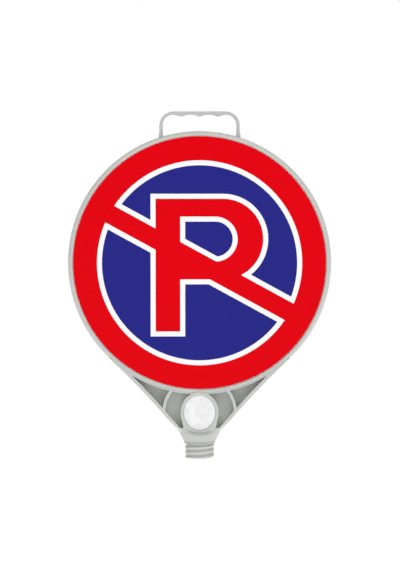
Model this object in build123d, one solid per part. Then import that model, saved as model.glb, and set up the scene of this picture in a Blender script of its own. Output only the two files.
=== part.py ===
from build123d import *
from math import cos, radians, sin, sqrt, tan
import os

# A round two-sided traffic sign head that screws onto a post. Millimetres, +Z up, front facing -Y.
# The joint plane of the two half shells is y = 0. The origin is on the neck's axis, at the
# underside of its shoulder, where the head seats on the post.

# Driving dimensions: the head
face_diameter = 300.0       # sign face inside the rim
rim_width = 5.5             # rim seen from the front
rim_depth = 14.0            # joint plane to the rim's front edge
rim_wall = 3.5
rim_round = 3.8             # outer rounding of the rim's front edge
rim_lip_round = 1.0
seam_relief = 0.4           # depth of the fine groove round the joint between the shells
seam_half_width = 0.3

# The sign panel, from the shell's floor outwards
floor_depth = 8.6           # joint plane to the inside of the floor
floor_wall = 2.5
tape_thickness = 0.5
tape_width = 12.0
plate_thickness = 1.5
sheet_thickness = 0.3
film_thickness = 0.2
panel_clearance = 0.2       # plate edge to rim, on the radius
film_margin = 0.4           # white edge left outside the red film

# The regulatory symbol, measured from the face centre
band_width = 28.8           # red border, from the face's edge
outline_width = 6.0         # white line round every red shape
slash_width = 22.0
slash_angle = 28.6          # falls to the right
letter_left = -51.9
stem_width = 29.0
letter_top = 75.8
letter_bottom = -80.9
bowl_radius = 47.5
bowl_centre_x = 27.6
stroke = 20.9
counter_centre_x = 18.4

# The yoke under the disc
yoke_height = 59.5          # the neck's shoulder to the bottom of the rim
yoke_angle = 43.3           # where its edges leave the rim, from straight down
yoke_rib = 4.1
yoke_foot_half_width = 25.3
yoke_foot_height = 15.0
yoke_web = 2.0              # each shell's web at the joint plane
yoke_blend_angle = 48.0     # oval cone that rounds the ribs' feet into the collar, from upright
brace_radius = 42.5         # curved braces, round the oval boss
brace_width = 3.5
boss_rim_overlap = 2.9      # how far the oval ring's top reaches over the rim
boss_half_width = 22.6
boss_half_height = 24.9
boss_depth = 15.0
boss_land_depth = 14.4      # flat land below the oval ring
boss_neck_half_width = 19.0
boss_foot_half_width = 15.5  # where the land ends inside the collar
boss_core_depth = 9.0
collar_edge_radius = 56.0   # arc of the collar's upper edge
collar_edge_low = 13.2      # lowest point of that arc
collar_edge_slope = 20.0    # lean of the ledge below that arc, from square to the joint plane
collar_edge_round = 1.5

# The oval reflector
lens_half_width = 18.6
lens_half_height = 20.9
lens_clearance = 0.3
lens_pocket_floor = 12.4
pad_thickness = 0.8
lens_crown = 1.4
lens_stand = 0.2            # crown's height over the ring

# The collar and the threaded neck
flange_radius = 18.7
flange_height = 3.0
collar_foot_radius = 19.6
collar_top_radius = 26.4    # half its width there
collar_top_half_depth = 21.0
collar_height = 17.0
neck_root_radius = 16.3
thread_height = 1.2
thread_pitch = 6.0
thread_root_width = 4.0
thread_crest_width = 1.6
thread_run_out = 2.4         # from the shoulder down to the middle of the thread's last turn
thread_turns = 3.1
thread_sink = 0.3            # how far the thread's foot reaches into the neck
neck_tip_round = 1.0
neck_length = 17.2
neck_bore_radius = 13.0
neck_bore_top = 1.0
stem_radius = 10.5
stem_bore_radius = 7.0
stem_bore_top = 22.0
stem_top = 34.0
keeper_radius = 14.3
keeper_low = 4.6
keeper_thickness = 2.8
socket_clearance = 0.2
lock_pin_radius = 2.5
lock_pin_height = 29.0
lock_pin_half_length = 11.0

# The carry handle
handle_half_width = 47.5
handle_top = 23.3           # above the top of the rim
handle_leg = 3.8
handle_bar = 3.5
handle_half_depth = 7.5
handle_corner = 17.0
handle_inner_corner = 12.0
finger_count = 4
finger_radius = 26.0
leg_flare = 0.9             # how far each leg widens where it meets the rim
leg_flare_height = 5.0
foot_half_width = 7.0
foot_thickness = 9.0
foot_peg_radius = 2.5
foot_peg_clearance = 0.2
handle_clearance = 0.2

# Screws and the bosses that take them
screw_count = 8
screw_circle_radius = 138.0
screw_radius = 1.9
screw_length = 15.0
screw_head_radius = 3.6
screw_head_height = 2.2
screw_clearance = 0.1
screw_boss_radius = 5.5
rim_screw_seat = 6.8        # depth of the head's seat in the rear shell
yoke_screw_seat = 9.0
yoke_screw_spacing = 17.0
yoke_screw_height = 47.5
rib_width = 2.0
rib_ring_radius = 84.0

# Sizes that follow from them
face_radius = face_diameter / 2
rim_radius = face_radius + rim_width
face_height = yoke_height + rim_radius
boss_height = yoke_height + boss_rim_overlap - boss_half_height
shell_floor = floor_depth + floor_wall
plate_back = shell_floor + tape_thickness
sheet_back = plate_back + plate_thickness
film_back = sheet_back + sheet_thickness
panel_radius = face_radius - panel_clearance
band_radius = face_radius - band_width
letter_height_mid = letter_top - bowl_radius
counter_radius = bowl_radius - stroke
crest_radius = neck_root_radius + thread_height
face_centre = Pos(0, face_height)
boss_centre = Pos(0, boss_height)


def slab(outline, back, front):
    """Make an outline, drawn as seen from the front, solid between two depths before the joint."""
    return extrude(Plane.XZ.offset(back) * outline, amount=front - back, dir=(0, -1, 0))


def box_between(left, right, low, high):
    """A rectangle by its four sides."""
    return Pos((left + right) / 2, (low + high) / 2) * Rectangle(right - left, high - low)


def turned_to_rear(shape):
    """The same piece on the back of the head, turned so that it reads the right way round."""
    return Rot(0, 0, 180) * shape


# The yoke's outlines

def yoke_outline():
    """The yoke from the rim's tangent points down to the collar, with edges that bow inwards."""
    turn = radians(yoke_angle)
    start = Vector(rim_radius * sin(turn), face_height - rim_radius * cos(turn))
    foot = Vector(yoke_foot_half_width, yoke_foot_height)
    right = TangentArc(start, foot, tangent=(-cos(turn), -sin(turn)))
    left = mirror(right, about=Plane.YZ)
    top = Line((start.X, start.Y), (-start.X, start.Y))
    bottom = Line((foot.X, foot.Y), (-foot.X, foot.Y))
    return make_face([right, left, top, bottom])


def boss_outline(margin=0.0):
    """The oval boss and the straight-sided neck that joins it to the collar."""
    oval = boss_centre * Ellipse(boss_half_width + margin, boss_half_height + margin)
    neck = Polygon(
        (boss_half_width - 0.3, boss_height - 4),
        (boss_neck_half_width, yoke_foot_height + 4),
        (boss_foot_half_width, yoke_foot_height - 6),
        (-boss_foot_half_width, yoke_foot_height - 6),
        (-boss_neck_half_width, yoke_foot_height + 4),
        (-boss_half_width + 0.3, boss_height - 4),
        align=None,
    )
    return oval + neck


def yoke_pockets():
    """The recesses between the outer ribs, the rim, the boss and the curved braces."""
    inside = offset(yoke_outline(), -yoke_rib)
    brace = Circle(brace_radius + brace_width / 2) - Circle(brace_radius - brace_width / 2)
    return inside - face_centre * Circle(rim_radius) - boss_outline() - boss_centre * brace


def lens_outline(margin=0.0):
    return boss_centre * Ellipse(lens_half_width + margin, lens_half_height + margin)


# Places that repeat

def screw_places():
    """Screw centres round the disc, then the pair hidden behind the oval reflector."""
    places = []
    for index in range(screw_count):
        turn = radians(360 / screw_count * index)
        x = screw_circle_radius * sin(turn)
        z = face_height + screw_circle_radius * cos(turn)
        places.append((x, z, rim_screw_seat))
    for side in (-1, 1):
        places.append((side * yoke_screw_spacing / 2, yoke_screw_height, yoke_screw_seat))
    return places


def foot_centre():
    """Centre of the right foot of the handle, inside the rim."""
    x = handle_half_width - handle_leg / 2
    inner_wall = face_height + sqrt((rim_radius - rim_wall) ** 2 - (x + foot_half_width) ** 2)
    return x, inner_wall - handle_clearance - foot_thickness / 2


# The half shells

def disc_tray():
    """Rim, rounded bead and floor of one shell."""
    rim = slab(face_centre * Circle(rim_radius), 0, rim_depth)
    front_edges = rim.edges().group_by(Axis.Y)[0]
    rim = fillet(front_edges, rim_round)
    rim -= slab(face_centre * Circle(rim_radius - rim_wall), 0, floor_depth)
    rim -= slab(face_centre * Circle(face_radius), shell_floor, rim_depth + 1)
    inner_edge = rim.edges().group_by(Axis.Y)[0]
    return fillet(inner_edge, rim_lip_round)


def stiffening_ribs():
    """A ring and spokes under the floor, which meet those of the other shell."""
    ring = Circle(rib_ring_radius + rib_width / 2) - Circle(rib_ring_radius - rib_width / 2)
    spokes = Sketch()
    for index in range(screw_count):
        spoke = Pos(0, rim_radius / 2) * Rectangle(rib_width, rim_radius)
        spokes += Rot(0, 0, 360 / screw_count * index) * spoke
    ribs = slab(face_centre * (ring + spokes), 0, floor_depth)
    return ribs & slab(face_centre * Circle(rim_radius - rim_wall / 2), 0, floor_depth)


def yoke_half():
    """The ribbed yoke with its web at the joint plane."""
    outline = yoke_outline() - face_centre * Circle(rim_radius - rim_wall / 2)
    body = slab(outline, 0, rim_depth)
    body = fillet(body.edges().group_by(Axis.Y)[0], 0.8)
    body -= slab(yoke_pockets(), yoke_web, rim_depth + 1)
    spread = (face_height - yoke_foot_height) * tan(radians(yoke_blend_angle))
    foot_half_depth = collar_half_depth(yoke_foot_height)
    foot = Pos(0, 0, yoke_foot_height) * Ellipse(yoke_foot_half_width, foot_half_depth)
    top = Pos(0, 0, face_height) * Ellipse(yoke_foot_half_width + spread, foot_half_depth + spread)
    return body & loft([foot, top])


def collar_half_depth(height):
    """Half the collar's depth at a height above its foot."""
    share = (height - flange_height) / (collar_height - flange_height)
    return collar_foot_radius + share * (collar_top_half_depth - collar_foot_radius)


def collar():
    """The collar over the neck: round at its foot, an oval at its top that is wider than deep."""
    foot = Pos(0, 0, flange_height) * Circle(collar_foot_radius)
    top = Pos(0, 0, collar_height) * Ellipse(collar_top_radius, collar_top_half_depth)
    flare = loft([foot, top])
    ahead = Pos(0, -rim_radius / 2, face_height / 2) * Box(face_diameter, rim_radius, face_height * 2)
    reach = collar_top_radius - boss_land_depth
    opening = Cone(collar_edge_radius, collar_edge_radius + reach * tan(radians(collar_edge_slope)), reach)
    opening = Rot(90, 0, 0) * opening
    opening = Pos(0, -boss_land_depth - reach / 2, collar_edge_low + collar_edge_radius) * opening
    body = flare & (ahead - opening)
    ledge = body.edges().filter_by(lambda e: e.length > collar_foot_radius)
    ledge = ledge.filter_by(lambda e: e.center().Y < -boss_land_depth - 1 and e.center().Z > flange_height + 1)
    return fillet(ledge, collar_edge_round)


def boss():
    """The oval ring on its land below the rim."""
    land = boss_outline()
    land -= face_centre * Circle(rim_radius - rim_wall / 2)
    ring = slab(boss_centre * Ellipse(boss_half_width, boss_half_height), 0, boss_depth)
    ring = fillet(ring.edges().group_by(Axis.Y)[0], 0.9)
    return slab(land, 0, boss_land_depth) + ring


def spigot_socket(margin):
    """The space that the neck's stem and keeper take up in the collar."""
    stem = cylinder_up(stem_radius + margin, flange_height - 1, stem_top + margin)
    keeper = cylinder_up(keeper_radius + margin, keeper_low - margin,
                         keeper_low + keeper_thickness + margin)
    return stem + keeper


def cylinder_up(radius, low, high):
    """An upright cylinder on the neck's axis between two heights."""
    return Pos(0, 0, (low + high) / 2) * Cylinder(radius, high - low)


def rod(radius, x, z, back, front):
    """A round rod square to the joint plane, between two depths before it."""
    return slab(Pos(x, z) * Circle(radius), back, front)


def seam_groove():
    """The fine step round the outside at the joint plane, which hides small differences in outline."""
    collar_side = Polygon(
        (collar_foot_radius, flange_height),
        (collar_top_radius, collar_height),
        (-collar_top_radius, collar_height),
        (-collar_foot_radius, flange_height),
        align=None,
    )
    outline = face_centre * Circle(rim_radius) + yoke_outline() + collar_side
    return slab(offset(outline, 1) - offset(outline, -seam_relief), 0, seam_half_width)


def shell_blank():
    """What both shells share before their screw holes are made."""
    shell = disc_tray() + stiffening_ribs() + yoke_half() + boss() + collar()
    shell -= slab(lens_outline(lens_clearance), lens_pocket_floor, boss_depth + 1)
    core = box_between(-13, 13, stem_top + 3, boss_height + 17)
    shell -= slab(core, 0, boss_core_depth)
    x, z = foot_centre()
    for side in (-1, 1):
        shell += rod(foot_peg_radius, side * x, z, handle_clearance, floor_depth + 0.5)
    for x, z, seat in screw_places():
        depth = boss_core_depth if z < rim_width + boss_height + boss_half_height else floor_depth
        shell += rod(screw_boss_radius, x, z, 0, depth + 0.5)
    shell -= spigot_socket(socket_clearance)
    shell -= rod(lock_pin_radius + screw_clearance, 0, lock_pin_height, 0,
                 lock_pin_half_length + screw_clearance)
    for side in (-1, 1):
        shell -= handle_slot(side)
    return shell - seam_groove()


def handle_slot(side):
    """The notch through the rim's wall for one leg of the handle."""
    x = side * (handle_half_width - handle_leg / 2)
    half = handle_leg / 2 + handle_clearance
    top = face_height + rim_radius
    notch = box_between(x - half, x + half, top - 2 * rim_wall - 10, top)
    return slab(notch, 0, handle_half_depth + handle_clearance)


def front_shell():
    """The half with blind pilot holes for the screws."""
    shell = shell_blank()
    for x, z, seat in screw_places():
        shell -= rod(screw_radius + screw_clearance, x, z, 0, screw_length - seat + screw_clearance)
    return shell


def rear_shell():
    """The half with clearance holes and sunk seats for the screw heads."""
    shell = turned_to_rear(shell_blank())
    for x, z, seat in screw_places():
        shell -= rod(screw_radius + screw_clearance, x, z, -seat - 1, 0)
        shell -= rod(screw_head_radius + screw_clearance, x, z, -seat - 12, -seat)
    return shell


# The handle

def handle_hole():
    """The hand hole: finger scallops above, straight sides below."""
    inner = handle_half_width - handle_leg
    pitch = 2 * inner / finger_count
    top = face_height + rim_radius + handle_top - handle_bar
    sag = finger_radius - sqrt(finger_radius ** 2 - (pitch / 2) ** 2)
    below = box_between(-inner, inner, face_height, top - sag)
    fingers = Sketch()
    for index in range(finger_count):
        x = -inner + pitch * (index + 0.5)
        fingers += Pos(x, top - finger_radius) * Circle(finger_radius)
    fingers &= box_between(-inner, inner, top - sag - 1, top + 1)
    hole = below + fingers
    corners = hole.vertices().filter_by(lambda v: abs(v.X) > inner - 0.01 and v.Y > face_height + 1)
    return fillet(corners, handle_inner_corner)


def leg_foot_flare(side):
    """A leg's flared shoulder, which sits on the rim."""
    x = side * (handle_half_width - handle_leg / 2)
    half = handle_leg / 2
    seat = face_height + sqrt((rim_radius + handle_clearance) ** 2 - x ** 2)
    flare = Polygon(
        (x - half - leg_flare, seat - leg_flare),
        (x - half - leg_flare, seat + 1),
        (x - half, seat + leg_flare_height),
        (x + half, seat + leg_flare_height),
        (x + half + leg_flare, seat + 1),
        (x + half + leg_flare, seat - leg_flare),
        align=None,
    )
    body = slab(flare, -handle_half_depth, handle_half_depth)
    seat_round = face_centre * Circle(rim_radius + handle_clearance)
    return body - slab(seat_round, -rim_depth, rim_depth)


def carry_handle():
    """A scalloped strap handle whose feet are trapped inside the rim."""
    top = face_height + rim_radius + handle_top
    x, z = foot_centre()
    low = z - foot_thickness / 2
    strap = box_between(-handle_half_width, handle_half_width, low, top)
    upper = strap.vertices().filter_by(lambda v: v.Y > top - 1)
    strap = fillet(upper, handle_corner) - handle_hole()
    outline = strap
    for side in (-1, 1):
        pad = Pos(side * x, z) * Rectangle(2 * foot_half_width, foot_thickness)
        outline += fillet(pad.vertices(), 1.0)
    handle = slab(outline, -handle_half_depth, handle_half_depth)
    bar_edges = handle.edges().filter_by(
        lambda e: e.center().Z > face_height + rim_radius + 2 and abs(e.center().Y) > handle_half_depth - 0.1)
    handle = fillet(bar_edges, 1.1)
    for side in (-1, 1):
        handle += leg_foot_flare(side)
    for side in (-1, 1):
        hole = rod(foot_peg_radius + foot_peg_clearance, side * x, z,
                   -handle_half_depth - 1, handle_half_depth + 1)
        handle -= hole
    return handle


# The neck

def screw_thread():
    """One right-hand thread of rounded trapezoid section, which starts below the neck's tip."""
    root = neck_root_radius - thread_sink
    height = thread_turns * thread_pitch
    low = -thread_run_out - height
    foot = thread_root_width / 2 + thread_sink
    crest = thread_crest_width / 2
    path = Helix(thread_pitch, height, root, center=(0, 0, low))
    profile = Polygon(
        (0, -foot),
        (thread_height + thread_sink, -crest),
        (thread_height + thread_sink, crest),
        (0, foot),
        align=None,
    )
    section = Plane(origin=(root, 0, low), x_dir=(1, 0, 0), z_dir=(0, -1, 0)) * profile
    return sweep(section, path=path, is_frenet=True)


def threaded_spigot():
    """Hollow threaded neck with its shoulder flange, stem and keeper ring."""
    core = cylinder_up(neck_root_radius, -neck_length, 0.5)
    core = fillet(core.edges().group_by(Axis.Z)[0], neck_tip_round)
    body = core + screw_thread()
    body -= cylinder_up(crest_radius + 1, -neck_length - 2 * thread_pitch, -neck_length)
    flange = cylinder_up(flange_radius, 0, flange_height)
    body += fillet(flange.edges(), 0.5)
    body += cylinder_up(stem_radius, flange_height - 1, stem_top)
    body += cylinder_up(keeper_radius, keeper_low, keeper_low + keeper_thickness)
    body -= cylinder_up(neck_bore_radius, -neck_length - 1, neck_bore_top)
    body -= cylinder_up(stem_bore_radius, neck_bore_top - 1, stem_bore_top)
    return body - rod(lock_pin_radius + screw_clearance, 0, lock_pin_height, -40, 40)


def spigot_lock_pin():
    """Cross pin that stops the neck from turning in the shells."""
    pin = rod(lock_pin_radius, 0, lock_pin_height, -lock_pin_half_length, lock_pin_half_length)
    return chamfer(pin.edges(), 0.4)


def shell_screws():
    """Pan-head screws that draw the shells together, all driven from the rear."""
    screws = []
    for x, z, seat in screw_places():
        shank = rod(screw_radius, x, z, -seat, screw_length - seat)
        head = rod(screw_head_radius, x, z, -seat - screw_head_height, -seat)
        head = fillet(head.edges().group_by(Axis.Y)[-1], 0.8)
        drive = box_between(-2.2, 2.2, -0.4, 0.4) + box_between(-0.4, 0.4, -2.2, 2.2)
        recess = slab(Pos(x, z) * drive, -seat - screw_head_height - 1, -seat - 0.9)
        screws.append(shank + head - recess)
    return Compound(children=screws)


# The sign panel

def plate_tape():
    """Double-sided tape ring and centre disc that hold the plate on the shell's floor."""
    outer = panel_radius - 4
    ring = Circle(outer) - Circle(outer - tape_width)
    bars = ring + Circle(tape_width * 2)
    return slab(face_centre * bars, shell_floor, plate_back)


def sign_plate():
    plate = slab(face_centre * Circle(panel_radius), plate_back, sheet_back)
    return chamfer(plate.edges().group_by(Axis.Y)[0], 0.2)


def white_sheet():
    return slab(face_centre * Circle(panel_radius - 0.2), sheet_back, film_back)


def letter(margin=0.0):
    """The capital of the parking symbol, grown on every side by a margin."""
    stem_right = letter_left + stem_width
    reach = bowl_radius + margin
    opening = counter_radius - margin
    stem = box_between(letter_left - margin, stem_right + margin, letter_bottom - margin,
                       letter_top + margin)
    bowl = box_between(letter_left, bowl_centre_x, letter_height_mid - reach, letter_height_mid + reach)
    bowl += Pos(bowl_centre_x, letter_height_mid) * Circle(reach)
    counter = box_between(stem_right + margin, counter_centre_x, letter_height_mid - opening,
                          letter_height_mid + opening)
    counter += Pos(counter_centre_x, letter_height_mid) * Circle(opening)
    counter &= box_between(stem_right + margin, face_radius, -face_radius, face_radius)
    return stem + (bowl - counter)


def slash(margin=0.0):
    """The prohibition bar through the centre."""
    return Rot(0, 0, -slash_angle) * Rectangle(face_diameter, slash_width + 2 * margin)


def red_film():
    """Border, bar and letter, cut from one film."""
    symbol = letter() + (slash() & Circle(band_radius + 1))
    border = Circle(panel_radius - film_margin) - Circle(band_radius)
    return slab(face_centre * (border + symbol), film_back, film_back + film_thickness)


def blue_films():
    """The blue field in the separate pieces that the red shapes and their outline leave."""
    field = Circle(band_radius - outline_width) - letter(outline_width) - slash(outline_width)
    pieces = {}
    for face in field.faces():
        centre = face.center()
        if face.area < 60:
            continue
        if face.bounding_box().size.X < bowl_radius * 2:
            name = "blue_film_letter"
        elif centre.Y > 0:
            name = "blue_film_upper"
        else:
            name = "blue_film_lower"
        pieces[name] = slab(face_centre * face, film_back, film_back + film_thickness)
    return pieces


# The oval reflector

def reflector_pad():
    """Adhesive pad that holds the reflector in its pocket."""
    return slab(lens_outline(-1.0), lens_pocket_floor, lens_pocket_floor + pad_thickness)


def oval_reflector():
    """A low domed oval lens."""
    back = lens_pocket_floor + pad_thickness
    crown = boss_depth + lens_stand
    radius = (lens_half_height ** 2 + lens_crown ** 2) / (2 * lens_crown)
    dome = Pos(0, radius - crown, boss_height) * Sphere(radius)
    return slab(lens_outline(), back, crown + 1) & dome


nodes = {
    "front_shell": front_shell(),
    "rear_shell": rear_shell(),
    "carry_handle": carry_handle(),
    "threaded_spigot": threaded_spigot(),
    "spigot_lock_pin": spigot_lock_pin(),
    "shell_screws": shell_screws(),
}
face_pieces = {
    "plate_tape": plate_tape(),
    "sign_plate": sign_plate(),
    "white_sheet": white_sheet(),
    "red_film": red_film(),
    "reflector_pad": reflector_pad(),
    "oval_reflector": oval_reflector(),
}
face_pieces.update(blue_films())
for name, piece in face_pieces.items():
    nodes["front_" + name] = piece
    nodes["rear_" + name] = turned_to_rear(piece)

os.makedirs("parts", exist_ok=True)
for name, shape in nodes.items():
    export_step(shape, "parts/" + name + ".step")
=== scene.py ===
# %% [markdown]
# A portable round traffic sign head: two moulded half shells, a sign panel on each side,
# a carry handle on top and a threaded neck below.
# The packed model already holds every piece at its real size and place, and stays as it is.
# This lesson gives each piece its finish, then sets the floor, the light and the camera.

# %% Load the packed model
import bpy
from math import cos, radians, sin
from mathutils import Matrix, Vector


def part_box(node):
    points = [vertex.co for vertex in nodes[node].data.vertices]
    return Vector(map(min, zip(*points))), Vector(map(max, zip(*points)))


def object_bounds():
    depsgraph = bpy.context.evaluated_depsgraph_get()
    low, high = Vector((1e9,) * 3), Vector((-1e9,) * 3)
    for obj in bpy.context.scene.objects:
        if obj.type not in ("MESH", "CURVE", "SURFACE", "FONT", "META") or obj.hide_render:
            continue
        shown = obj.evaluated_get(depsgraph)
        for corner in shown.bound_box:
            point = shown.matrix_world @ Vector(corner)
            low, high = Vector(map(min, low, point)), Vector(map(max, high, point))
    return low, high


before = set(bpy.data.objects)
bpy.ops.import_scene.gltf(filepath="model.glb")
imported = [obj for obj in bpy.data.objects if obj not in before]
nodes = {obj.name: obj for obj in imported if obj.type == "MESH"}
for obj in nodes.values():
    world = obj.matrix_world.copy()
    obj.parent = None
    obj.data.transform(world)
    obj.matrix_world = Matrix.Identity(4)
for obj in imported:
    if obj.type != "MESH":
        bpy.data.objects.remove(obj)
cad_low, cad_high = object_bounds()
both_sides = ("front_", "rear_")
print("pieces:", len(nodes))
print("size in mm:", [round(1000 * (b - a), 1) for a, b in zip(cad_low, cad_high)])

# %% [markdown]
# Colours are easiest to judge as display values from 0 to 255, but a shader wants linear light.
# The curve between the two is the usual one for screens, so one small function does for all.

# %% Display colour to linear colour
def linear(red, green, blue):
    """A display colour, 0 to 255, as the linear colour that a shader takes."""
    channels = []
    for value in (red, green, blue):
        share = value / 255
        channels.append(share / 12.92 if share <= 0.04045 else ((share + 0.055) / 1.055) ** 2.4)
    return (*channels, 1.0)


def shaded(colour, share):
    """A linear colour with its light cut to a share."""
    return (*(channel * share for channel in colour[:3]), 1.0)


print("mid grey:", round(linear(128, 128, 128)[0], 3))

# %% [markdown]
# Every finish here is a small node tree round one Principled shader. It could be built node by
# node each time, but the trees share their parts, so a helper holds the tree and has one short
# method for each part. The first methods only add a node, join it and set the shader.

# %% A material and its nodes
class NodeTree:
    """A new material, its node tree and its Principled shader."""

    def __init__(self, name):
        self.material = bpy.data.materials.new(name)
        self.material.use_nodes = True
        self.tree = self.material.node_tree
        self.shader = self.tree.nodes["Principled BSDF"]
        self.place = self.add("ShaderNodeTexCoord").outputs["Object"]

    def add(self, kind, **settings):
        node = self.tree.nodes.new(kind)
        for key, value in settings.items():
            setattr(node, key, value)
        return node

    def feed(self, value, socket):
        """Give a socket a number, a colour or another node's output."""
        if isinstance(value, bpy.types.NodeSocket):
            self.tree.links.new(value, socket)
        else:
            socket.default_value = value

    def set(self, **inputs):
        """Feed the Principled shader's own inputs; an underscore stands for a space."""
        for name, value in inputs.items():
            self.feed(value, self.shader.inputs[name.replace("_", " ")])


print("a tree can", [name for name in vars(NodeTree) if not name.startswith("_")])

# %% [markdown]
# Wear, grain and colour all come from a few kinds of pattern: a noise on the piece's own
# coordinates, a change of range, a sum, a mix of two colours. Object coordinates are in metres,
# so a noise scale of 1000 gives grains of about a millimetre.

# %% Patterns
class PatternTree(NodeTree):
    """A node tree that can make patterns on a piece's own coordinates."""

    def noise(self, scale, detail=3.0, crowding=(1, 1, 1)):
        """Noise; under 1, the number for an axis draws the grains out along it, over 1 packs them."""
        mapping = self.add("ShaderNodeMapping")
        self.feed(self.place, mapping.inputs["Vector"])
        self.feed(crowding, mapping.inputs["Scale"])
        node = self.add("ShaderNodeTexNoise")
        self.feed(mapping.outputs["Vector"], node.inputs["Vector"])
        self.feed(scale, node.inputs["Scale"])
        self.feed(detail, node.inputs["Detail"])
        return node.outputs["Fac"]

    def axes(self):
        """The piece's own coordinates as three numbers."""
        node = self.add("ShaderNodeSeparateXYZ")
        self.feed(self.place, node.inputs["Vector"])
        return node.outputs["X"], node.outputs["Y"], node.outputs["Z"]

    def remap(self, value, low, high, new_low=0.0, new_high=1.0):
        """Carry a value from one range to another, held at both ends."""
        node = self.add("ShaderNodeMapRange")
        for name, number in zip(("Value", "From Min", "From Max", "To Min", "To Max"),
                                (value, low, high, new_low, new_high)):
            self.feed(number, node.inputs[name])
        return node.outputs["Result"]

    def math(self, operation, *values):
        node = self.add("ShaderNodeMath", operation=operation)
        for value, socket in zip(values, node.inputs):
            self.feed(value, socket)
        return node.outputs["Value"]

    def mix(self, share, first, second, blend="MIX"):
        """One colour at 0, the other at 1, or the two multiplied."""
        node = self.add("ShaderNodeMix", data_type="RGBA", blend_type=blend)
        share_socket, first_socket, second_socket, result = 0, 6, 7, 2
        self.feed(share, node.inputs[share_socket])
        self.feed(first, node.inputs[first_socket])
        self.feed(second, node.inputs[second_socket])
        return node.outputs[result]


print("patterns:", [name for name in vars(PatternTree) if not name.startswith("_")])

# %% [markdown]
# A finish starts from how rough and how shiny its surface is, and may have a relief too fine to
# model. Once made, it goes on every slot of the pieces that wear it.

# %% A finish, and pieces that wear it
class Finish(PatternTree):
    """A surface finish under construction."""

    def __init__(self, name, roughness, shine):
        super().__init__(name)
        self.set(Roughness=roughness, Specular_IOR_Level=shine)

    def bump(self, height, strength, distance):
        """Relief from a height, with its depth in metres."""
        node = self.add("ShaderNodeBump")
        self.feed(height, node.inputs["Height"])
        self.feed(strength, node.inputs["Strength"])
        self.feed(distance, node.inputs["Distance"])
        self.set(Normal=node.outputs["Normal"])


def wear(finish, *names):
    """Put a finish on CAD pieces."""
    for name in names:
        slots = nodes[name].data.materials
        if len(slots) == 0:
            slots.append(finish.material)
        for index in range(len(slots)):
            slots[index] = finish.material
    print(finish.material.name, "on", ", ".join(names))


# %% [markdown]
# The shells are injection moulded in a light warm grey. Three things keep that from looking
# like paint: faint clouds where the melt flowed, a fine satin grain from the mould, and rare
# darker specks of handling dirt. Each is one noise at its own scale.

# %% Grey moulded plastic
def moulded_plastic(name, tone, roughness=0.48):
    """A satin moulded plastic. The finish keeps its colour at hand, for later layers."""
    finish = Finish(name, roughness, 0.25)
    clouds = finish.remap(finish.noise(11, 4), 0.35, 0.65)
    grain = finish.noise(1300, 2)
    specks = finish.remap(finish.noise(210, 5), 0.66, 0.74, 0.0, 0.35)
    colour = finish.mix(clouds, shaded(tone, 1.03), shaded(tone, 0.95))
    colour = finish.mix(specks, colour, shaded(tone, 0.72))
    satin = finish.remap(grain, 0.3, 0.7, roughness - 0.07, roughness + 0.08)
    finish.set(Base_Color=colour, Roughness=satin)
    finish.bump(grain, 0.22, 0.0001)
    finish.colour = colour
    return finish


shell = moulded_plastic("shell_grey", linear(197, 199, 194))
print("made", shell.material.name)

# %% [markdown]
# The floors of the yoke's pockets have a coarser, spark-eroded texture, which makes the tone
# wander a little more there, and the wander leans darker: a painted shade for the deep recesses.
# The shader has to find those floors from the piece's own coordinates: they lie near the joint
# plane, below the rim and between the sloping ribs.
# The rim's size and place come from the model, and the ribs run straight from rim to neck.

# %% Where the pocket floors are
face_low, face_high = (Vector(corner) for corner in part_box("front_white_sheet"))
face_centre = (face_low + face_high) / 2
rim_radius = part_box("front_shell")[1][0]
yoke_angle = radians(43.3)
yoke_top_half_width = rim_radius * sin(yoke_angle)
yoke_top = face_centre.z - rim_radius * cos(yoke_angle)
yoke_foot_half_width = 0.0253
yoke_foot = 0.015
rib_slope = (yoke_top_half_width - yoke_foot_half_width) / (yoke_top - yoke_foot)
print("ribs from", round(yoke_foot, 3), "to", round(yoke_top, 3), "m high, slope", round(rib_slope, 2))

# %% [markdown]
# Three masks, one for each of those limits, are multiplied. Each has a soft edge of under a
# millimetre, or a few millimetres at the rim, so that no hard line shows.

# %% Coarse pocket floors, with painted shade
floor_depth = 0.0032
floor_edge = 0.0008
rib_inset = 0.0035
rib_edge = 0.0006
rim_edge = 0.004

x, y, z = shell.axes()
rib_start = yoke_foot_half_width - rib_slope * yoke_foot - rib_inset
rib_line = shell.math("MULTIPLY_ADD", z, rib_slope, rib_start)
between_ribs = shell.remap(shell.math("SUBTRACT", rib_line, shell.math("ABSOLUTE", x)), 0.0, rib_edge)
near_joint = shell.remap(shell.math("ABSOLUTE", y), floor_depth, floor_depth - floor_edge)
below_rim = shell.remap(z, yoke_top + rim_edge, yoke_top)
pocket = shell.math("MULTIPLY", shell.math("MULTIPLY", between_ribs, near_joint), below_rim)
# Painted shade: this noise multiplies the floors by 0.92 to 1.05, so they come out a little darker on
# average.
coarse_grain_and_painted_shade = shell.remap(shell.noise(170, 6), 0.3, 0.7, 0.92, 1.05)
shell.set(Base_Color=shell.mix(pocket, shell.colour, coarse_grain_and_painted_shade, blend="MULTIPLY"))
wear(shell, "front_shell", "rear_shell")

# %% [markdown]
# The handle and the neck are separate mouldings. The handle is a neutral grey, a little darker than
# the shells'; the neck's grey is darker still, a painted shade for the shadow under the shoulder.
# On the neck the thread's crests are painted lighter and its roots darker: a painted highlight and
# shade for the lit and shadowed flanks of the thread.
# The distance from the neck's axis tells crest from root.

# %% Handle and threaded neck
wear(moulded_plastic("handle_grey", linear(190, 190, 190), 0.5), "carry_handle")

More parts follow.
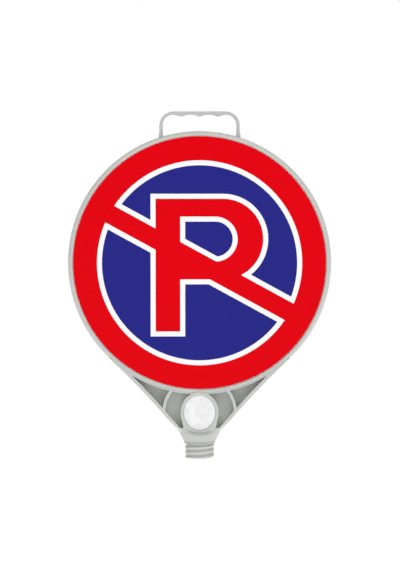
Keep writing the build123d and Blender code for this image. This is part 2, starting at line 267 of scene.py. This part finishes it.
thread_root = 0.0163
thread_crest = 0.0175
shoulder_edge = 0.001
# The neck's darker grey is painted shade from under the shoulder.
neck = moulded_plastic("neck_grey", linear(186, 186, 182), 0.45)
x, y, z = neck.axes()
squares = neck.math("ADD", neck.math("MULTIPLY", x, x), neck.math("MULTIPLY", y, y))
radius = neck.math("SQRT", squares)
crest = neck.remap(radius, thread_root, thread_crest)
# Painted highlight and shade: crests lighter, roots darker, for the lit and shadowed flanks of the
# thread.
lit_crests_shaded_roots = neck.mix(crest, linear(177, 177, 173), linear(206, 206, 202))
below_shoulder = neck.remap(z, 0.0, -shoulder_edge)
neck.set(Base_Color=neck.mix(below_shoulder, neck.colour, lit_crests_shaded_roots))
wear(neck, "threaded_spigot")

# %% [markdown]
# The face is white sheeting with transparent red and blue films over it. Up close the sheeting
# is a lattice of small cells under a smooth clear skin, which shows as a faint honeycomb,
# and the films follow it. A Voronoi texture with its distance to the cell edge draws that
# lattice. The skin has the slight waviness of a laminate, a low, wide bump.

# %% Sheeting and films
def laminate(name, colour, lattice_share, roughness=0.32, shine=0.05):
    """Coloured film on a cell lattice, under a clear skin."""
    finish = Finish(name, roughness, shine)
    cells = finish.add("ShaderNodeTexVoronoi", feature="DISTANCE_TO_EDGE")
    finish.feed(finish.place, cells.inputs["Vector"])
    finish.feed(260, cells.inputs["Scale"])
    finish.feed(0.25, cells.inputs["Randomness"])
    walls = finish.remap(cells.outputs["Distance"], 0.02, 0.09, 1.0, 0.0)
    clouds = finish.remap(finish.noise(7, 3), 0.35, 0.65)
    tint = finish.mix(clouds, colour, shaded(colour, 0.965))
    tint = finish.mix(finish.math("MULTIPLY", walls, lattice_share), tint, shaded(colour, 0.8))
    scuffs = finish.remap(finish.noise(60, 6, (1, 1, 3)), 0.55, 0.75, roughness, roughness + 0.08)
    finish.set(Base_Color=tint, Roughness=scuffs)
    finish.bump(finish.noise(45, 2), 0.08, 0.0004)
    return finish


red = laminate("traffic_red_film", linear(226, 0, 15), 0.35)
blue = laminate("traffic_blue_film", linear(40, 41, 134), 0.35)
white = laminate("white_sheeting", linear(251, 251, 252), 0.12)
for side in both_sides:
    wear(white, side + "white_sheet")
    wear(red, side + "red_film")
    wear(blue, *(side + "blue_film_" + part for part in ("upper", "lower", "letter")))

# %% [markdown]
# The oval is a low white dome over a reflecting pad. It is a touch greyer than the sheeting,
# with soft cloudy patches, because the light goes in and comes back through thick plastic.
# A little subsurface scattering would also do it, but the clouds alone read the same and bake well.

# %% Oval reflector
lens = Finish("reflector_white", 0.3, 0.3)
patches = lens.remap(lens.noise(95, 5), 0.35, 0.7)
lens.set(Base_Color=lens.mix(patches, linear(243, 243, 243), linear(227, 227, 228)),
         Roughness=lens.remap(patches, 0.0, 1.0, 0.26, 0.4))
lens.bump(lens.noise(420, 2), 0.1, 0.0001)
wear(lens, *(side + "oval_reflector" for side in both_sides))

# %% [markdown]
# Inside are an aluminium plate, foam tape, zinc plated screws and a steel pin. Little of them
# shows, but each gets the finish of the real one.
# Rolled sheet has fine lines along one axis: a noise drawn out along that axis gives them.

# %% Metal inside
def bare_metal(name, colour, roughness, crowding):
    """Metal, with fine lines along an axis where the crowding is under 1."""
    finish = Finish(name, roughness, 0.5)
    lines = finish.noise(900, 3, crowding)
    finish.set(Metallic=1.0, Base_Color=finish.mix(lines, colour, shaded(colour, 0.8)),
               Roughness=finish.remap(lines, 0.3, 0.7, roughness - 0.08, roughness + 0.1))
    finish.bump(lines, 0.12, 0.00005)
    return finish


plate = bare_metal("rolled_aluminium", linear(214, 216, 218), 0.35, (0.04, 1, 1))
zinc = bare_metal("zinc_plated_steel", linear(196, 198, 202), 0.3, (1, 1, 1))
steel = bare_metal("plain_steel", linear(176, 178, 182), 0.28, (1, 0.1, 1))
wear(plate, *(side + "sign_plate" for side in both_sides))
wear(zinc, "shell_screws")
wear(steel, "spigot_lock_pin")

# %% [markdown]
# The tape behind each plate, and the pad behind each oval, are grey foam: matt, with open pores.

# %% Foam inside
foam = Finish("foam_tape", 0.85, 0.15)
pores = foam.noise(1500, 4)
foam.set(Base_Color=foam.mix(pores, linear(70, 70, 72), linear(104, 104, 106)))
foam.bump(pores, 0.5, 0.0002)
wear(foam, *(side + piece for side in both_sides for piece in ("plate_tape", "reflector_pad")))

# %% [markdown]
# The floor is plain and pale, below the neck as if the sign stood on its post there.
# A white tent lights its floor from within, so the floor gives off a little light of its own.

# %% Floor
post_length = 0.6
floor_size = 60
bpy.ops.object.select_all(action="DESELECT")
bpy.ops.mesh.primitive_plane_add(size=floor_size, location=(0, 0, cad_low[2] - post_length))
floor = bpy.context.object
floor.name = "floor"
floor_white = Finish("floor_white", 0.9, 0.0)
dust = floor_white.noise(3, 2)
clean = (1.0, 1.0, 1.0, 1.0)
floor_white.set(Base_Color=floor_white.mix(dust, clean, shaded(clean, 0.98)),
                Emission_Color=clean, Emission_Strength=0.56)
floor.data.materials.append(floor_white.material)
print("floor at", round(cad_low[2] - post_length, 3))

# %% [markdown]
# The studio is a white tent. A tent that is equally bright all round would flatten the rim,
# so it gives the object less light than it shows to the eye, and soft lamps make up the rest.
# A Light Path node tells the two apart: what the camera sees directly, and all other light.

# %% White tent
tent_light = 0.57
tent = bpy.data.worlds.new("white_tent")
bpy.context.scene.world = tent
tent.use_nodes = True
tent_nodes = tent.node_tree.nodes
seen = tent_nodes["Background"]
seen.inputs["Color"].default_value = (1, 1, 1, 1)
giving = tent_nodes.new("ShaderNodeBackground")
giving.inputs["Strength"].default_value = tent_light
path = tent_nodes.new("ShaderNodeLightPath")
either = tent_nodes.new("ShaderNodeMixShader")
tent.node_tree.links.new(path.outputs["Is Camera Ray"], either.inputs["Fac"])
tent.node_tree.links.new(giving.outputs[0], either.inputs[1])
tent.node_tree.links.new(seen.outputs[0], either.inputs[2])
tent.node_tree.links.new(either.outputs[0], tent_nodes["World Output"].inputs["Surface"])
bpy.context.scene.view_settings.view_transform = "Standard"
print("the tent gives", tent_light, "of the light that it shows")

# %% [markdown]
# Each lamp is round and soft and looks at the middle of the face. The strong one above in
# front lights what faces forwards or upwards, so edges that turn down fall off. Two weak ones
# fill from the sides, the right one more than the left, so that the rim keeps its roundness.
# The one behind does for the rear face what the one above does for the front.

# %% Soft lamps
def soft_lamp(name, place, across, watts):
    """A round soft lamp that looks at the middle of the face."""
    light = bpy.data.lights.new(name, "AREA")
    light.shape = "DISK"
    light.size = across
    light.energy = watts
    lamp = bpy.data.objects.new(name, light)
    bpy.context.scene.collection.objects.link(lamp)
    lamp.location = place
    lamp.rotation_mode = "QUATERNION"
    lamp.rotation_quaternion = (face_centre - Vector(place)).to_track_quat("-Z", "Y")
    print(name, watts, "W")


overhead_size = 1.6
side_size = 1.2
soft_lamp("lamp_above", (0.3, -1.6, 2.4), overhead_size, 21)
soft_lamp("lamp_left", (-1.9, -1.9, 0.7), side_size, 3)
soft_lamp("lamp_right", (1.9, -1.9, 0.7), side_size, 5.5)
soft_lamp("lamp_behind", (0.0, 1.8, 2.4), overhead_size, 21)

# %% [markdown]
# The camera stands straight in front, two metres away and a few degrees above the middle of the
# face. The lens follows from the distance and from how much height the picture takes in.

# %% Camera
camera_distance = 2.0
picture_height = 0.678
camera_rise = radians(3.0)
aim_below_face = 0.0266
aim_right = 0.0005
lens_data = bpy.data.cameras.new("front_view")
lens_data.sensor_width = 36.0
lens_data.lens = lens_data.sensor_width * camera_distance / picture_height
camera = bpy.data.objects.new("front_view", lens_data)
bpy.context.scene.collection.objects.link(camera)
aim = Vector((aim_right, 0.0, face_centre.z - aim_below_face))
camera.location = aim + Vector((0.0, -cos(camera_rise), sin(camera_rise))) * camera_distance
camera.rotation_mode = "QUATERNION"
camera.rotation_quaternion = (aim - camera.location).to_track_quat("-Z", "Y")
bpy.context.scene.camera = camera
print("lens", round(lens_data.lens, 1), "mm")

# %% [markdown]
# The finished model must fill the same box as the packed one.
